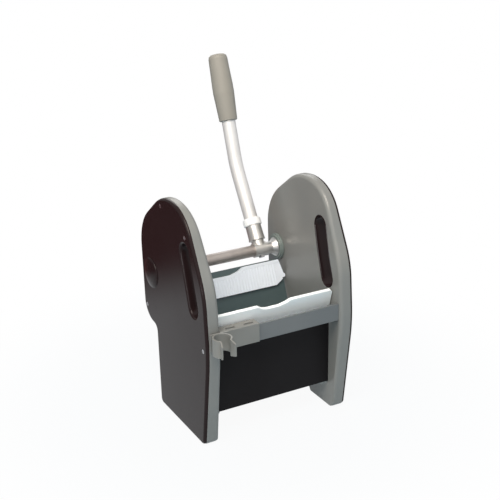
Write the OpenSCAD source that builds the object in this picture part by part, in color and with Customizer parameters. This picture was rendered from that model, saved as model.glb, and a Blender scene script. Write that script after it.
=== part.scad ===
// Geared mop wringer. Pulling the lever forward turns the cross shaft, and a
// gear train in each side housing swings the rear jaw towards the front plate.
// Millimetres. +X is right, -Y is the front, +Z is up. Z = 0 is the floor.

/* [Side housings] */
// Width over the two dark covers, without their shaft bosses
overall_w = 266; // [262:1:290]
// Width of each grey side frame along X
frame_t = 20; // [19:0.5:24]
// Thickness of each dark cover
cover_t = 5; // [4.5:0.5:7]
// Wall of the side frames
wall = 3; // [2.5:0.5:3.5]
// Height of the crown of the side housings
side_h = 386; // [380:1:396]
// Distance of the front lower corner from the base's centre line
base_front = 87; // [84:1:90]
// Distance of the rear lower corner from the base's centre line
base_rear = 80; // [78:1:84]
// How far the front edge bulges out at its knee
knee_y = 110; // [109:0.5:114]
// How far the rear bulge round the gears reaches
bulge_y = 133.5; // [131:0.5:138]
// Rounding of the frames' inner edge
rim_r = 7; // [5:0.5:9]
// How far the frames' inner faces draw back at the crown
frame_lean = 5.5; // [0:0.5:7]
// Rounding of the covers' outer edge
cover_r = 4; // [2:0.5:4.5]
// Gap of the seam between a cover and its frame
seam = 0.6; // [0.2:0.1:1.5]
// Height of the notch under the frames, which leaves a foot at each end
notch_h = 7; // [4:0.5:9]
// Length of each front foot
front_foot_l = 69; // [50:1:72]
// Length of each rear foot
rear_foot_l = 45; // [30:1:48]

/* [Hand slots] */
// Length of each slot over its round ends
slot_l = 120; // [100:1:130]
// Width of each slot in the frame
slot_w = 36; // [30:0.5:38]
// Lean of the slots from the vertical
slot_tilt = 17; // [10:0.5:22]
// Wall of the black collar that lines each slot
slot_wall = 2.5; // [1.5:0.5:4]
// Flare of the hand slots' outer ends
slot_flare = 3; // [2:0.5:4]

/* [Lever] */
// Place of the cross shaft behind the base's centre line
shaft_y = 92.5; // [91:0.5:94]
// Height of the cross shaft above the floor
shaft_z = 235; // [233:0.5:239]
// Diameter of the cross shaft
shaft_d = 20; // [18:0.5:21]
// Offset of the lever to the right of the centre
lever_inset = 36; // [32:1:44]
// Backward lean of the lever's lower part at rest
lever_lean = 32; // [26:0.5:34]
// Angle of the bend in the tube
lever_bend = 13.5; // [5:0.5:20]
// Radius of the bend at the tube's centre line
bend_r = 160; // [100:5:240]
// Distance from the shaft to the bend
bend_at = 155; // [130:1:180]
// Distance from the bend to the top of the grip
upper_l = 196; // [180:1:240]
// Outer diameter of the lever tube
tube_d = 24; // [22:0.5:24.5]
// Wall of the lever tube
tube_wall = 1.5; // [1:0.1:2.5]
// Length of the grip
grip_l = 117; // [100:1:130]
// Largest diameter of the grip
grip_d = 37; // [34:0.5:40]
// Diameter of the grip's ends
grip_end_d = 32; // [29:0.5:33.5]

/* [Gear train] */
// Teeth of the pinions on the shaft
pinion_teeth = 16; // [15:1:17]
// Teeth of the idlers
idler_teeth = 31; // [30:1:32]
// Teeth of a full sector gear
sector_teeth = 40; // [39:1:41]
// Module of the gears
gear_module = 3.25; // [3.2:0.05:3.35]
// Swing of the jaw from rest to closed
jaw_travel = 36; // [28:1:36]
// Face width of the gears
gear_w = 8; // [6:0.5:8.5]
// Play between meshed flanks
backlash = 0.35; // [0.2:0.05:0.5]

/* [Press] */
// Place of the jaw's pivot behind the base's centre line
pivot_y = 15; // [12:0.5:16]
// Height of the jaw's pivot above the floor
pivot_z = 70; // [69:0.5:73]
// Diameter of the jaw's axle
axle_d = 16; // [14:0.5:18]
// Backward lean of the jaw at rest
jaw_lean = 21.5; // [20:0.5:23]
// Distance of the jaw's top edge from the cross shaft
jaw_top_gap = 11.8; // [11:0.2:20]
// Height of the white pad on the jaw
pad_h = 43; // [36:1:60]
// Thickness of the white pad without its ribs
pad_t = 5; // [4:0.5:6]
// Thickness of the jaw's plate
carrier_t = 6; // [5:0.5:8]
// Lean of the front plate from the vertical
plate_lean = 16; // [14:0.5:18]
// Height of the front plate's top edge above the floor
plate_top = 217.5; // [212:1:226]
// Thickness of the front plate without its ribs
plate_t = 5; // [4:0.5:6]
// Distance between neighbouring ribs of the pad and the plate
rib_pitch = 5.5; // [5:0.5:9]
// Height of those ribs
rib_h = 0.8; // [0.6:0.1:2]
// Middle of the hollows in the top edges, left of the centre
dip_x = 12.5; // [5:1:25]
// Width of the hollow in the front plate's edge
front_dip_w = 60; // [40:1:80]
// Depth of the hollow in the front plate's edge
front_dip_h = 7.5; // [4:0.5:12]
// Width of the hollow in the pad's edge
rear_dip_w = 83; // [50:1:90]
// Depth of the hollow in the pad's edge
rear_dip_h = 9; // [6:0.5:18]

/* [Body] */
// Height of the front crossbar
bar_h = 28; // [26:1:36]
// Depth of the front crossbar
bar_t = 14; // [12:0.5:15]
// Top of the front crossbar above the floor
bar_top = 198; // [197:1:203]
// Front face of the crossbar, ahead of the centre line
bar_y = 103; // [102:0.5:104]
// Front face of the black front panel, ahead of the centre line
panel_y = 74; // [72:0.5:78]
// Top of the front panel above the floor
panel_top = 162; // [155:1:163]
// Top of the rear panel above the floor
rear_panel_top = 113; // [106:1:115]
// Thickness of the two panels
panel_t = 3; // [2:0.5:4]
// Bottom edge of the two panels above the floor
panel_z = 46; // [42:1:48]
// Top of the drain floor above the feet's soles
floor_z = 54; // [51:0.5:54]
// Thickness of the drain floor
floor_t = 4; // [3:0.5:6]
// Width of a drain slot
drain_w = 7; // [5:0.5:10]
// Length of a drain slot
drain_l = 46; // [30:1:50]

/* [Handle clip] */
// Inner diameter of the spring ring that grips a mop handle
clip_d = 26; // [24:0.5:30]
// Wall of the ring and its lips
clip_wall = 2.5; // [2:0.5:4]
// Height of the ring
clip_h = 28; // [24:1:32]
// Gap between the ring's two lips
clip_mouth = 15; // [13:0.5:19]
// Length of the saddle over the crossbar
saddle_l = 67; // [60:1:80]

/* [Fasteners] */
// Thread diameter of the frame screws
bolt_d = 5; // [4:0.5:6]
// Thread diameter of the cover screws
cover_screw_d = 4; // [3:0.5:4.5]

/* [Fits] */
// Running clearance of shafts in their bores, on the radius
run = 0.05; // [0.02:0.01:0.1]
// Clearance of pieces that are fitted once, on the radius
fit = 0.05; // [0.02:0.01:0.1]
// Clearance between faces that lie side by side
gap = 0.3; // [0.2:0.05:0.5]

/* [Hidden] */
$fn = 64;

frame_x0 = overall_w / 2 - cover_t - frame_t;
frame_x1 = overall_w / 2 - cover_t;
cover_x1 = overall_w / 2;
gear_x0 = frame_x0 + wall + 4.5;
gear_x1 = gear_x0 + gear_w;
hub_x1 = gear_x1 + 1.5;
clip_ring_t = 1.2;
shaft_end = hub_x1 + clip_ring_t + 2;

shaft_r = shaft_d / 2;
axle_r = axle_d / 2;
idler_pin_r = 6;
shaft = [shaft_y, shaft_z];
pivot = [pivot_y, pivot_z];

// The idler lies ahead of the line from the shaft to the pivot, where its
// pitch circle touches those of the pinion and the sector.
train = norm(pivot - shaft);
upper_reach = gear_module * (pinion_teeth + idler_teeth) / 2;
lower_reach = gear_module * (idler_teeth + sector_teeth) / 2;
to_foot = (train * train + upper_reach * upper_reach - lower_reach * lower_reach) / 2 / train;
upper_dir = atan2(pivot.y - shaft.y, pivot.x - shaft.x) - acos(to_foot / upper_reach);
idler_c = shaft + upper_reach * [cos(upper_dir), sin(upper_dir)];
lower_dir = atan2(pivot.y - idler_c.y, pivot.x - idler_c.x);
lever_travel = jaw_travel * sector_teeth / pinion_teeth;

// Side outline: [y, z, radius] of each corner, clockwise from the front sole.
side_corners = [
  [-base_front, 0, 10],
  [-knee_y, 164, 280],
  [7.5 - knee_y, 265, 130],
  [-45, side_h - 9.5, 72],
  [34.5, side_h + 2.5, 98],
  [bulge_y, side_h - 71, 80],
  [bulge_y - 5, 147, 36],
  [base_rear + 3, 141, 10],
  [base_rear, 0, 10]];

// Share of the rim's rounding that is left at the soles.
sole_rim = 0.15;

// The frames' inner faces draw back from this height up to the crown.
lean_z = side_h - 113.5;
function lean(z) = frame_lean * max(0, z - lean_z) / (side_h - lean_z);

// A point inside the outline from which every corner is in sight.
fan_at = [20, lean_z];

// Centres of the cover screws, as [y, z].
cover_screws = [[43, side_h - 21], [-44, side_h - 47], [bulge_y - 16, 169], [15 - knee_y, 171]];

// Middle of the hand slots, as [y, z].
slot_c = [-53.5, lean_z];

bolt_r = bolt_d / 2;
bolt_head_r = bolt_r + 2;
bolt_head_h = 2.8;
// Screws through the frame's inner wall, as [y, z]: two for each cross piece.
bar_wall = 4;
bar_bolts = [for (z = [8.7, 18]) [bar_t - 4.5 - bar_y, bar_top - z]];
flange_l = 15;
panel_bolts = [[8.5 - panel_y, panel_z + 22], [8.5 - panel_y, panel_top - 48]];
rear_y = base_rear - 6;
rear_bolts = [[rear_y - 9.5, floor_z + 12], [rear_y - 9.5, rear_panel_top - 12]];
rail_z = panel_z - 5;
floor_bolts = [for (y = [-35, 45]) [y, rail_z + 5.2]];
plate_y = -panel_y + panel_t + gap;
plate_z = panel_top;
plate_bolts = [for (z = [20, -78]) [plate_y, plate_z] + z * [-sin(plate_lean), cos(plate_lean)]
  + (plate_t / 2 + 2) * [cos(plate_lean), sin(plate_lean)]];
inner_bolts = concat(bar_bolts, panel_bolts, rear_bolts, floor_bolts, plate_bolts);

plate_half = frame_x0 - 2;
jaw_half = frame_x0 - 3;
jaw_h = train - shaft_r - jaw_top_gap;
pad_z = jaw_h - 1.5 - pad_h;
pad_front = 2;
bush_flange_t = 6;
bush_flange_r = shaft_r + 13;
ferrule_at = 18;
collar_at = 43;
lever_x = frame_x0 - lever_inset;
collar_l = 13;
tee_r = shaft_r + 2.2;
tee_x0 = lever_x - 13;
tee_x1 = lever_x + 13;
lever_top = lever_lean - lever_bend;
grip_tip = shaft_y + bend_at * sin(lever_lean) + upper_l * sin(lever_top);

// The clip's ring stands clear of the frame's front edge.
ring_out = clip_d / 2 + clip_wall;
ring_x = 12 - frame_x1;
ring_y = -knee_y - 3 - ring_out;
clip_rise = 7;
ring_z = bar_top + clip_rise - clip_h;
lip_l = 11;
lip_drop = 5.5;
lip_lift = 3;
neck_y = ring_y - clip_d / 2 * cos(asin(clip_mouth / clip_d));
clip_front = neck_y - lip_l;

// Centre of depth between the clip's lips and the back of the grip.
origin_y = (clip_front + grip_tip + grip_end_d / 2 * cos(lever_top)) / 2;

// Shapes shared by several pieces.

function unit(v) = v / norm(v);
function turn(v, a) = [v.x * cos(a) - v.y * sin(a), v.x * sin(a) + v.y * cos(a)];
function wrap(i, n) = (i + n) % n;

// Number of facets of each rounded corner, the same in every ring.
function corner_steps(i, n) =
  let (
    c = side_corners,
    u = unit([c[i].x, c[i].y] - [c[wrap(i - 1, n)].x, c[wrap(i - 1, n)].y]),
    v = unit([c[wrap(i + 1, n)].x, c[wrap(i + 1, n)].y] - [c[i].x, c[i].y]))
  max(2, ceil(acos(u * v) / 6));

// Corners moved inwards by d, except at the soles, where the rim keeps nearly square.
function eased_corners(c, d) = [
  for (i = [0:len(c) - 1])
    let (
      p1 = [c[i].x, c[i].y],
      p0 = c[wrap(i - 1, len(c))],
      p2 = c[wrap(i + 1, len(c))],
      u = unit(p1 - [p0.x, p0.y]),
      v = unit([p2.x, p2.y] - p1),
      nu = [u.y, -u.x],
      nv = [v.y, -v.x],
      side = u.x * v.y - u.y * v.x < 0 ? 1 : -1,
      share = c[i].y > 0 ? d : d * sole_rim,
      p = p1 + (nu + nv) * share / (1 + nu * nv))
    [p.x, p.y, max(c[i].z - side * share, 0.5)]];

// Points of a clockwise outline with rounded corners, moved inwards by d.
function round_path(c, d) = [
  for (i = [0:len(c) - 1])
    let (
      p0 = c[wrap(i - 1, len(c))],
      p1 = c[i],
      p2 = c[wrap(i + 1, len(c))],
      u = unit([p1.x - p0.x, p1.y - p0.y]),
      v = unit([p2.x - p1.x, p2.y - p1.y]),
      nu = [u.y, -u.x],
      nv = [v.y, -v.x],
      side = u.x * v.y - u.y * v.x < 0 ? 1 : -1,
      r = max(p1.z - side * d, 0.5),
      bend = acos(u * v),
      corner = [p1.x, p1.y] + (nu + nv) * d / (1 + nu * nv),
      start = corner - u * r * tan(bend / 2),
      mid = start + nu * r * side,
      steps = corner_steps(i, len(c)))
    for (k = [0:steps]) mid + turn(start - mid, -side * bend * k / steps)];

// A solid between two X values whose outline steps inwards: [x, inset] rings.
// Each end is a fan about a point that sees the whole outline.
module side_loft(rings) {
  paths = [for (q = rings) [for (p = round_path(q[2] > 0 ? eased_corners(side_corners, q[1])
    : side_corners, q[2] > 0 ? 0 : q[1])) [q[0] + (q[2] > 1 ? lean(p.y) : 0), p.x, p.y]]];
  n = len(paths[0]);
  last = (len(rings) - 1) * n;
  first_mid = last + n;
  polyhedron(
    concat(
      [for (path = paths) each path],
      [[rings[0][0], fan_at.x, fan_at.y], [rings[len(rings) - 1][0], fan_at.x, fan_at.y]]),
    concat(
      [for (i = [0:n - 1]) [first_mid, (i + 1) % n, i]],
      [for (k = [0:len(rings) - 2], i = [0:n - 1])
        let (a = k * n + i, b = k * n + (i + 1) % n)
        each [[a, b, b + n], [a, b + n, a + n]]],
      [for (i = [0:n - 1]) [first_mid + 1, last + i, last + (i + 1) % n]]));
}

// Draws a (y, z) shape and gives it thickness from x0 to x1.
module along_x(x0, x1) {
  translate([x0, 0, 0]) rotate([90, 0, 90]) linear_extrude(x1 - x0) children();
}

// The wedge between the plane at x and the leaning part of a frame's inner face.
module lean_wedge(x) {
  reach = side_h - lean_z;
  translate([0, side_h, 0]) rotate([90, 0, 0]) linear_extrude(2 * side_h)
    polygon([
      [x - 1, lean_z], [x, lean_z], [x + 2 * frame_lean, lean_z + 2 * reach],
      [x - 1, lean_z + 2 * reach]]);
}

// A rod or a bore along X.
module rod(p, r, x0, x1) {
  along_x(x0, x1) translate(p) circle(r);
}

// The same piece on the other side.
module left() {
  mirror([1, 0, 0]) children();
}

module obround(l, w) {
  square([w, l - w], center = true);
  for (s = [-1, 1]) translate([0, s * (l - w) / 2]) circle(w / 2);
}

module slot_shape(grow) {
  translate(slot_c) rotate(-slot_tilt) obround(slot_l + 2 * grow, slot_w + 2 * grow);
}

// A round with two flats, for the driven ends of the shaft and the axle.
module double_d(r, grow) {
  intersection() {
    circle(r + grow);
    square([2 * (r * 0.8 + grow), 3 * r], center = true);
  }
}

// Gears.

function inv_deg(a) = tan(a) * 180 / PI - a;
function flank(z, r) =
  let (pitch = gear_module * z / 2, base = pitch * cos(20))
  90 / z - backlash / 2 / pitch * 90 / PI + inv_deg(20) - inv_deg(acos(min(1, base / r)));
function gear_radii(z) =
  let (pitch = gear_module * z / 2)
  [
    pitch - 1.1 * gear_module, pitch * cos(20) + 0.01, pitch,
    pitch + 0.4 * gear_module, pitch + 0.8 * gear_module];
function sorted_radii(z) =
  let (g = gear_radii(z)) g[0] < g[1] ? g : [g[0], g[0] + 0.3 * gear_module, g[2], g[3], g[4]];
function gear_points(z) = [
  for (k = [0:z - 1], s = [-1, 1], i = [0:4])
    let (r = sorted_radii(z)[s < 0 ? i : 4 - i], a = 360 / z * k + s * flank(z, r))
    r * [cos(a), sin(a)]];

module gear_shape(z, phase) {
  rotate(phase) polygon(gear_points(z));
}

// A pinion tooth stands in a gap of the idler, and so on down the train.
idler_phase = upper_dir + 180 + 180 / idler_teeth;
sector_phase = lower_dir + 180 + 180 / sector_teeth
  - (idler_phase - lower_dir) * idler_teeth / sector_teeth;

module ring_seat(c, r, x0) {
  along_x(x0 - 0.1, x0 + clip_ring_t + 0.1) translate(c) difference() {
    circle(r + 2);
    circle(r - 1.2);
  }
}

// A snap ring with its gap at the bottom.
module snap_ring(c, r, x0) {
  along_x(x0, x0 + clip_ring_t) translate(c) difference() {
    circle(r + 2.5);
    circle(r - 1.2 + fit);
    translate([-2.5, -2 * r]) square([5, 2 * r]);
  }
}

// Side housings.

notch_slope = 5;

// Sloped notch in the underside, between the front foot and the rear foot.
module notch_shape() {
  y0 = front_foot_l - base_front;
  y1 = base_rear - rear_foot_l;
  polygon([
    [y0 - 1, -1], [y0, 0], [y0 + notch_slope, notch_h], [y1 - notch_slope, notch_h], [y1, 0],
    [y1 + 1, -1]]);
}

module frame_shell() {
  difference() {
    side_loft(concat(
      [for (a = [0:22.5:90]) [frame_x0 + rim_r * (1 - cos(a)), rim_r * (1 - sin(a)), 2]],
      [[frame_x1, 0, 1]]));
    difference() {
      along_x(frame_x0 + wall, frame_x1) polygon(round_path(side_corners, rim_r));
      lean_wedge(frame_x0 + wall);
    }
    difference() {
      along_x(frame_x0 + 0.7 * rim_r, frame_x1 + 1) polygon(round_path(side_corners, wall));
      lean_wedge(frame_x0 + 0.7 * rim_r);
    }
  }
}

module side_frame() {
  difference() {
    union() {
      frame_shell();
      along_x(frame_x0 + 1, frame_x1) translate([front_foot_l - base_front - wall, 1])
        square([base_front + base_rear - front_foot_l - rear_foot_l + 2 * wall, notch_h + wall - 1]);
      for (p = cover_screws) rod(p, cover_screw_d / 2 + 2.2, frame_x0 + 1 + lean(p.y), frame_x1);
      rod(shaft, 21, frame_x0 + 1, frame_x0 + wall + 2);
      rod(pivot, 15, frame_x0 + 1, frame_x0 + wall + 2);
      rod(idler_c, 11, frame_x0 + 1, gear_x0 - 0.5);
    }
    along_x(frame_x0 - 1, frame_x1 + 1) notch_shape();
    along_x(frame_x0 - 1, frame_x1) slot_shape(0);
    for (p = cover_screws) rod(p, cover_screw_d / 2 + fit, frame_x1 - 12, frame_x1 + 1);
    for (p = inner_bolts) rod(p, bolt_r + fit, frame_x0 - 1, frame_x0 + wall + 1);
    rod(shaft, shaft_r + 5 + fit, frame_x0 - 1, frame_x0 + wall + 3);
    rod(pivot, axle_r + 3 + fit, frame_x0 - 1, frame_x0 + wall + 3);
    rod(idler_c, idler_pin_r - 1 + fit, frame_x0 + 1.5, gear_x0);
  }
}

module left_side_frame() {
  color([0.49, 0.48, 0.45]) left() side_frame();
}

module right_side_frame() {
  color([0.49, 0.48, 0.45]) side_frame();
}

boss_r = 25.5;
boss_h = 5.5;
screw_head_r = cover_screw_d * 0.85;
mouth_r = slot_w / 2 - gap - slot_wall;

// Flare round the outer end of the hand slot.
module slot_mouth() {
  half = (slot_l - slot_w) / 2;
  translate([cover_x1 - slot_flare, slot_c.x, slot_c.y]) rotate([90, 0, 90]) rotate(-slot_tilt) {
    for (e = [-half, half]) translate([0, e, 0])
      cylinder(r1 = mouth_r, r2 = mouth_r + slot_flare + 0.5, h = slot_flare + 0.5);
    rotate([90, 0, 0]) linear_extrude(2 * half, center = true) polygon([
      [-mouth_r, 0], [mouth_r, 0], [mouth_r + slot_flare + 0.5, slot_flare + 0.5],
      [-mouth_r - slot_flare - 0.5, slot_flare + 0.5]]);
  }
}

// Shallow dome over the end of the shaft.
module cover_boss() {
  cap_r = (boss_r * boss_r + boss_h * boss_h) / 2 / boss_h;
  translate([cover_x1, shaft_y, shaft_z]) rotate([0, 90, 0]) rotate_extrude() {
    intersection() {
      translate([0, boss_h - cap_r]) circle(cap_r, $fn = 128);
      square([boss_r, boss_h]);
    }
    translate([0, -1]) square([boss_r, 1.01]);
  }
}

module side_cover() {
  difference() {
    union() {
      side_loft(concat(
        [[frame_x1, seam, 0]],
        [for (a = [90:-30:0])
          [cover_x1 - cover_r + cover_r * cos(a), seam + cover_r * (1 - sin(a)), 0]]));
      cover_boss();
      difference() {
        along_x(frame_x0, frame_x1 + 1) slot_shape(-gap);
        lean_wedge(frame_x0);
      }
    }
    difference() {
      along_x(frame_x1 - 1, frame_x1 + cover_t / 2) polygon(round_path(side_corners, wall + cover_r));
      along_x(frame_x0 - 2, cover_x1) slot_shape(-gap);
      for (p = cover_screws) rod(p, cover_screw_d / 2 + 3, frame_x1, cover_x1);
    }
    rod(shaft, 15, frame_x1, cover_x1 + 1);
    along_x(frame_x0 - 1, cover_x1 + 1) slot_shape(-gap - slot_wall);
    for (p = cover_screws) rod(p, cover_screw_d / 2 + gap, frame_x1 - 1, cover_x1 + 1);
    for (p = cover_screws) rod(p, screw_head_r + gap, cover_x1 - 1.6, cover_x1 + 1);
    slot_mouth();
  }
}

module left_side_cover() {
  color([0.09, 0.06, 0.055]) left() side_cover();
}

module right_side_cover() {
  color([0.09, 0.06, 0.055]) side_cover();
}

module side_screws() {
  for (p = cover_screws) difference() {
    union() {
      rod(p, cover_screw_d / 2, frame_x1 - 2 * cover_t, cover_x1 - 1);
      rod(p, screw_head_r, cover_x1 - 1.6, cover_x1 - 0.2);
    }
    along_x(cover_x1 - 0.9, cover_x1) translate(p) {
      square([0.8, screw_head_r * 1.3], center = true);
      square([screw_head_r * 1.3, 0.8], center = true);
    }
  }
}

module left_cover_screws() {
  color([0.72, 0.72, 0.74]) left() side_screws();
}

module right_cover_screws() {
  color([0.72, 0.72, 0.74]) side_screws();
}

// Cross pieces.

// Front crossbar: an angle with gussets behind its face, solid ends for the screws,
// and a shelf on top at the left, where the handle clip sits.
module front_crossbar() {
  foot = bar_top - bar_h;
  color([0.42, 0.43, 0.44]) difference() {
    union() {
      along_x(-frame_x0, frame_x0) {
        translate([-bar_y, foot]) square([bar_wall, bar_h]);
        translate([-bar_y, foot]) square([bar_t, bar_wall]);
      }
      along_x(-frame_x0, saddle_x1 - 3) translate([-bar_y, bar_top - bar_wall]) square([bar_t, bar_wall]);
      for (s = [-1, 1]) along_x(s * (frame_x0 - 7) - 7, s * (frame_x0 - 7) + 7)
        translate([1 - bar_y, foot + 1]) square([bar_t - 1, bar_h - 1 - bar_wall]);
      for (x = [-50, 0, 50]) along_x(x - 1.5, x + 1.5) polygon([
        [1 - bar_y, foot + 1], [bar_t - bar_y, foot + 1], [bar_t - bar_y, foot + 6],
        [bar_wall + 3 - bar_y, bar_top - 7], [1 - bar_y, bar_top - 7]]);
      for (x = window_x) translate([x - window_l / 2 + gap, window_y + gap, bar_top - 1])
        cube([window_l - 2 * gap, window_w - 2 * gap, 2.2]);
    }
    for (s = [-1, 1], p = bar_bolts) lug_hole(s, p, 13);
  }
}

// A sheet across the body from y to y + panel_t, with a flange at each end.
// The flanges' outline is the (y, z) polygon among the children.
module panel(y, z1, bolts) {
  difference() {
    union() {
      along_x(-frame_x0, frame_x0) translate([y, panel_z]) square([panel_t, z1 - panel_z]);
      for (s = [-1, 1]) {
        along_x(s > 0 ? frame_x0 - panel_t : -frame_x0, s > 0 ? frame_x0 : panel_t - frame_x0) children();
        for (p = bolts) lug(s, p, 9);
      }
    }
    for (s = [-1, 1], p = bolts) lug_hole(s, p, 10);
  }
}

module front_panel() {
  y = panel_t - panel_y;
  slope = tan(plate_lean);
  color([0.13, 0.12, 0.125]) panel(-panel_y, panel_top, panel_bolts) polygon([
    [y - 1, floor_z + gap], [y + flange_l, floor_z + gap],
    [y + flange_l, panel_top - (flange_l + 2) / slope],
    [y + 1, panel_top - 3 / slope], [y - 1, panel_top - 3 / slope]]);
}

module rear_panel() {
  color([0.13, 0.12, 0.125]) panel(rear_y, rear_panel_top, rear_bolts)
    translate([rear_y - flange_l, floor_z + gap]) square([flange_l + 1, rear_panel_top - floor_z - gap]);
}

// A round boss inside a flange, for a screw from the side housing.
module lug(s, p, l) {
  mirror([s < 0 ? 1 : 0, 0, 0]) rod(p, bolt_r + 2.5, frame_x0 - l, frame_x0);
}

module lug_hole(s, p, l) {
  mirror([s < 0 ? 1 : 0, 0, 0]) rod(p, bolt_r + fit, frame_x0 - l, frame_x0 + 1);
}

// Floor under the mop, with rows of drain slots and a bolted rail at each end.
module drain_floor() {
  y0 = panel_t + gap - panel_y;
  y1 = rear_y - gap;
  pitch = 2 * drain_w + 3;
  count = floor((2 * frame_x0 - 44) / pitch);
  color([0.60, 0.61, 0.60]) difference() {
    union() {
      translate([-frame_x0, y0, floor_z - floor_t]) cube([2 * frame_x0, y1 - y0, floor_t]);
      for (s = [-1, 1]) translate([s > 0 ? frame_x0 - 12 : -frame_x0, y0, rail_z])
        cube([12, y1 - y0, floor_z - floor_t - rail_z + 0.5]);
      for (y = [y0, y1 - 3]) translate([1 - frame_x0, y, panel_z + 0.5])
        cube([2 * frame_x0 - 2, 3, floor_z - floor_t - panel_z]);
    }
    for (i = [0:count - 1], y = [-42, 18])
      translate([(i - (count - 1) / 2) * pitch, y, floor_z - floor_t - 1])
        linear_extrude(floor_t + 2) obround(drain_l, drain_w);
    for (s = [-1, 1], p = floor_bolts) lug_hole(s, p, 11);
  }
}

module frame_bolts() {
  color([0.62, 0.62, 0.64]) for (s = [0, 1], p = inner_bolts) mirror([s, 0, 0]) difference() {
    union() {
      rod(p, bolt_r, frame_x0 - 8, frame_x0 + wall + 0.5);
      rod(p, bolt_head_r, frame_x0 + wall, frame_x0 + wall + bolt_head_h);
    }
    along_x(frame_x0 + wall + bolt_head_h - 1.6, frame_x0 + wall + 5) translate(p)
      circle(bolt_r * 0.6, $fn = 6);
  }
}

// Front plate.

// Leans the front plate about the panel's upper rear edge.
module plate_place() {
  translate([0, plate_y, plate_z]) rotate([plate_lean, 0, 0]) children();
}

plate_up = (plate_top - plate_z) / cos(plate_lean);
plate_down = (plate_z - floor_z - 14) / cos(plate_lean);

// Outline of a hollow in a top edge: a wide trapezoid with eased corners.
module dip(w, h) {
  polygon([
    [-w / 2, 1], [-w / 2, 0], [-w / 2 + 1.2 * h, -0.75 * h], [-w / 2 + 2.2 * h, -h],
    [w / 2 - 2.8 * h, -h], [w / 2 - 1.2 * h, -0.6 * h], [w / 2, 0], [w / 2, 1]]);
}

// Section through a plate of thickness t, with ribs along one face at +Y.
module ribbed(half, rib_half, t) {
  n = floor((rib_half - 2) / rib_pitch);
  polygon(concat(
    [[half, 0], [-half, 0], [-half, t]],
    [for (i = [-n:n]) let (x = i * rib_pitch) each [
      [x - 1.4, t], [x - 0.7, t + rib_h], [x + 0.7, t + rib_h], [x + 1.4, t]]],
    [[half, t]]));
}

rim_h = 5;

// Front view of the front plate.
module plate_outline() {
  difference() {
    polygon([
      [-plate_half, plate_up - 3], [-plate_half + 3, plate_up], [plate_half - 3, plate_up],
      [plate_half, plate_up - 3], [plate_half, -plate_down], [-plate_half, -plate_down]]);
    translate([11.5 - dip_x, plate_up]) dip(front_dip_w, front_dip_h);
  }
}

module front_press_plate() {
  color([0.86, 0.90, 0.91]) difference() {
    union() {
      plate_place() intersection() {
        translate([0, 0, -plate_down]) linear_extrude(plate_up + plate_down)
          ribbed(plate_half, plate_half, plate_t);
        upright(-5, plate_t + 5) plate_outline();
      }
      plate_place() upright(0, plate_t + rib_h) difference() {
        plate_outline();
        translate([0, -rim_h]) plate_outline();
      }
      for (s = [-1, 1], p = plate_bolts) lug(s, p, 12);
    }
    for (s = [-1, 1], p = plate_bolts) lug_hole(s, p, 11);
  }
}

// The clip for the mop's handle sits on the crossbar.
window_l = 16;
window_w = 5;
saddle_x1 = saddle_l + 1 - frame_x0;
window_edge = 15;
window_pitch = 31.5;
window_x = [saddle_x1 - window_edge, saddle_x1 - window_edge - window_pitch];
window_y = 3.5 - bar_y;
saddle_t = 2.5;
saddle_skirt = 11;
web_t = 3;

module handle_clip() {
  x0 = 1 - frame_x0;
  front = -bar_y - gap - saddle_t;
  back = ring_y + ring_out - web_t / 2;
  back_x = ring_x - 0.8 * ring_out;
  web_w = 9;
  color([0.50, 0.48, 0.44]) {
    difference() {
      along_x(x0, saddle_x1) difference() {
        translate([front, bar_top - bar_h])
          square([bar_t + 2 * (gap + saddle_t), bar_h + gap + saddle_t]);
        translate([-bar_y - gap, bar_top - bar_h - 1])
          square([bar_t + 2 * gap, bar_h + 1 + gap]);
        translate([-bar_y + 1, bar_top - bar_h - 1])
          square([bar_t + 2 * saddle_t + 1, bar_h - saddle_skirt]);
      }
      for (x = window_x) translate([x - window_l / 2, window_y, bar_top - 1])
        cube([window_l, window_w, 2 * saddle_t]);
    }
    difference() {
      translate([ring_x, ring_y, ring_z]) linear_extrude(clip_h) clip_ring();
      lip_tapers();
    }
    translate([back_x, back, ring_z]) cube([x0 + web_w - back_x, web_t, clip_h]);
    translate([x0, back, ring_z]) cube([web_w, front + 1 - back, clip_h - clip_rise + saddle_t]);
  }
}

// What the lips lose above and below as they run out to their ends.
module lip_tapers() {
  top = ring_z + clip_h;
  along_x(ring_x - 2 * ring_out, ring_x + 2 * ring_out) {
    polygon([
      [neck_y, top], [neck_y, top + 1], [clip_front - 1, top + 1], [clip_front - 1, top - lip_drop]]);
    polygon([
      [neck_y, ring_z], [clip_front - 1, ring_z + lip_lift], [clip_front - 1, ring_z - 1],
      [neck_y, ring_z - 1]]);
  }
}

// Plan of the spring ring: an arc open to the front, with two flared lips.
module clip_ring() {
  r = clip_d / 2;
  half = clip_mouth / 2;
  neck = -sqrt(r * r - half * half);
  difference() {
    circle(r + clip_wall);
    circle(r);
    translate([-half, -2 * r]) square([2 * half, 2 * r]);
  }
  for (s = [-1, 1]) polygon([
    [s * half, neck - 1], [s * (half + clip_wall - 0.8), neck - 1],
    [s * (half + clip_wall), neck - 2.5], [s * (half + clip_wall + 2.5), neck - lip_l],
    [s * (half + 2.5), neck - lip_l], [s * half, neck - 2.5]]);
}

// Bearings.

module shaft_bush() {
  difference() {
    union() {
      rod(shaft, bush_flange_r, frame_x0 - bush_flange_t + 2, frame_x0);
      rod(shaft, bush_flange_r - 2.5, frame_x0 - bush_flange_t, frame_x0);
      rod(shaft, shaft_r + 5, frame_x0 - 1, frame_x0 + wall + 2);
    }
    rod(shaft, shaft_r + run, frame_x0 - 2 * bush_flange_t, frame_x1);
  }
}

module left_shaft_bush() {
  color([0.36, 0.40, 0.38]) left() shaft_bush();
}

module right_shaft_bush() {
  color([0.36, 0.40, 0.38]) shaft_bush();
}

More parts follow.
